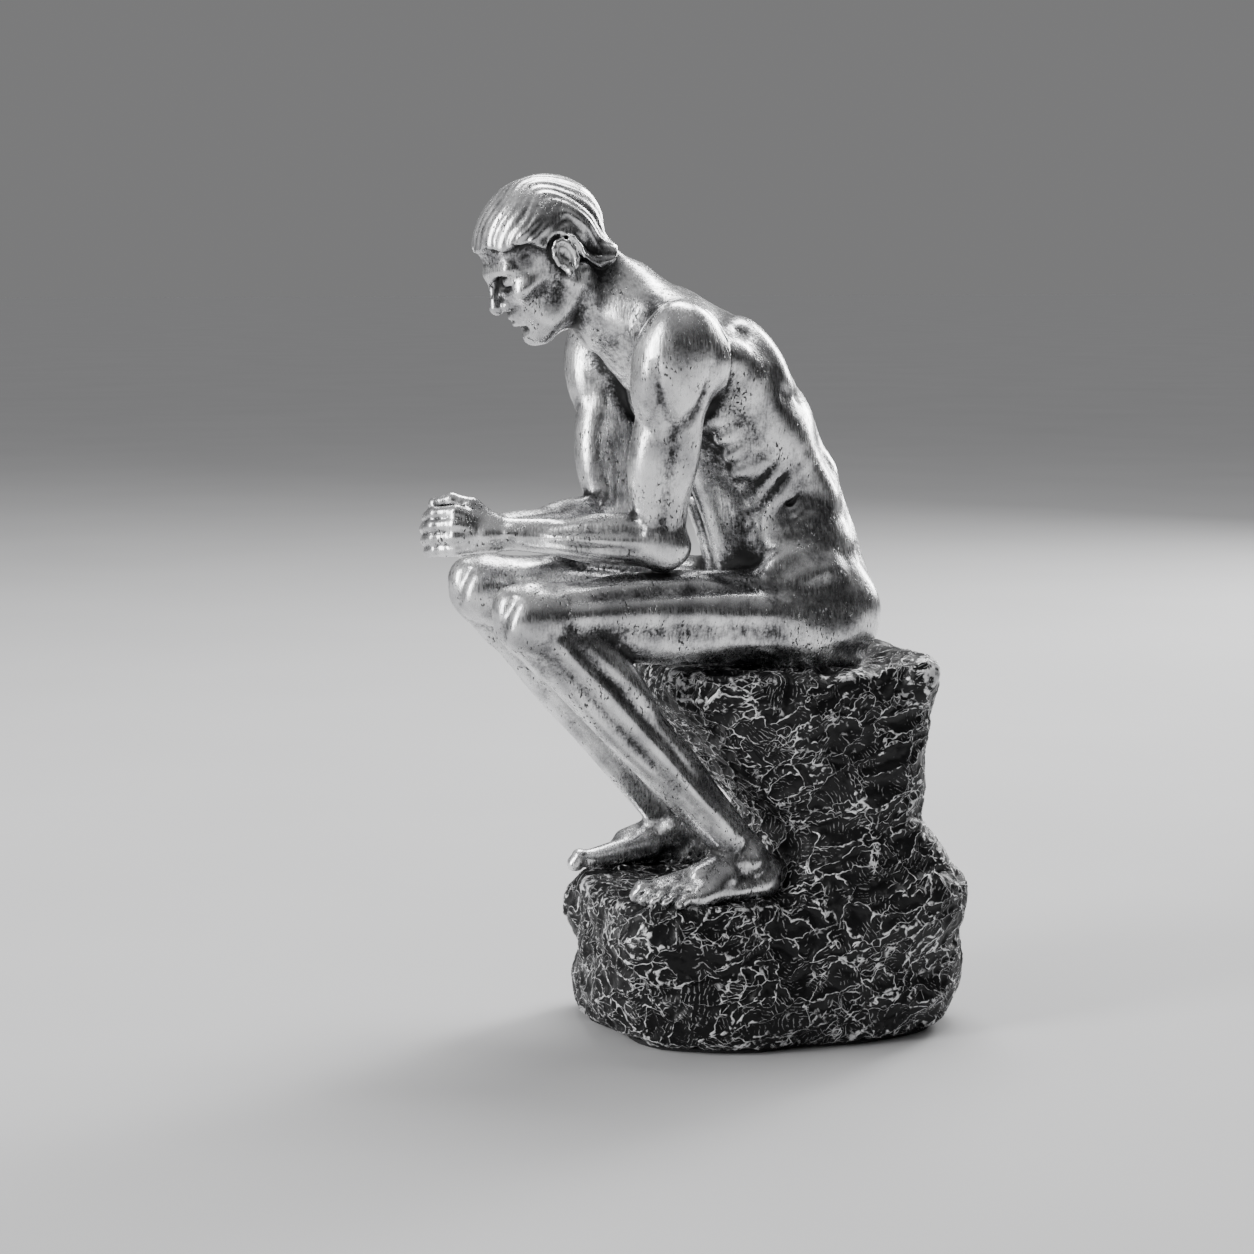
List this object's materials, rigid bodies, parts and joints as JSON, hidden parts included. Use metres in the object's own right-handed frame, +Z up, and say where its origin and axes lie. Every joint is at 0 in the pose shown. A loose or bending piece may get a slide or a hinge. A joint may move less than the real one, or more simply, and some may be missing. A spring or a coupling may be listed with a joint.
{
  "type": "seated figure statue",
  "caption": "Seated pensive figure, leaning forward with clasped hands, on a rough rock: an antiqued silver tabletop ornament with a felted base.",
  "frame": {"origin": "middle of the underside, on the felt", "axes": "+Z up, the figure faces -X and its left side is towards -Y"},
  "size_m": [0.1694, 0.097, 0.2622],
  "materials": {
    "antique_silver": "antiqued silver coat over cast resin, polished high spots, black patina in the recesses",
    "rock": "cast resin painted black, silver rubbed over the sharp ridges",
    "steel": "zinc plated",
    "brass": "satin",
    "hardboard": "matte",
    "concrete": "matte",
    "felt": "matte"
  },
  "bodies": {
    "root": {"torso": "antique_silver", "head": "antique_silver", "left_arm": "antique_silver", "right_arm": "antique_silver", "left_leg": "antique_silver", "right_leg": "antique_silver", "neck_dowel": "steel", "shoulder_dowels": "steel", "thigh_dowels": "steel", "foot_dowels": "steel", "seat_bolt": "steel", "seat_washer": "steel", "base_screws": "steel", "rock_base": "rock", "seat_insert": "brass", "base_plate": "hardboard", "ballast_block": "concrete", "felt_pad": "felt"}
  },
  "joints": []
}
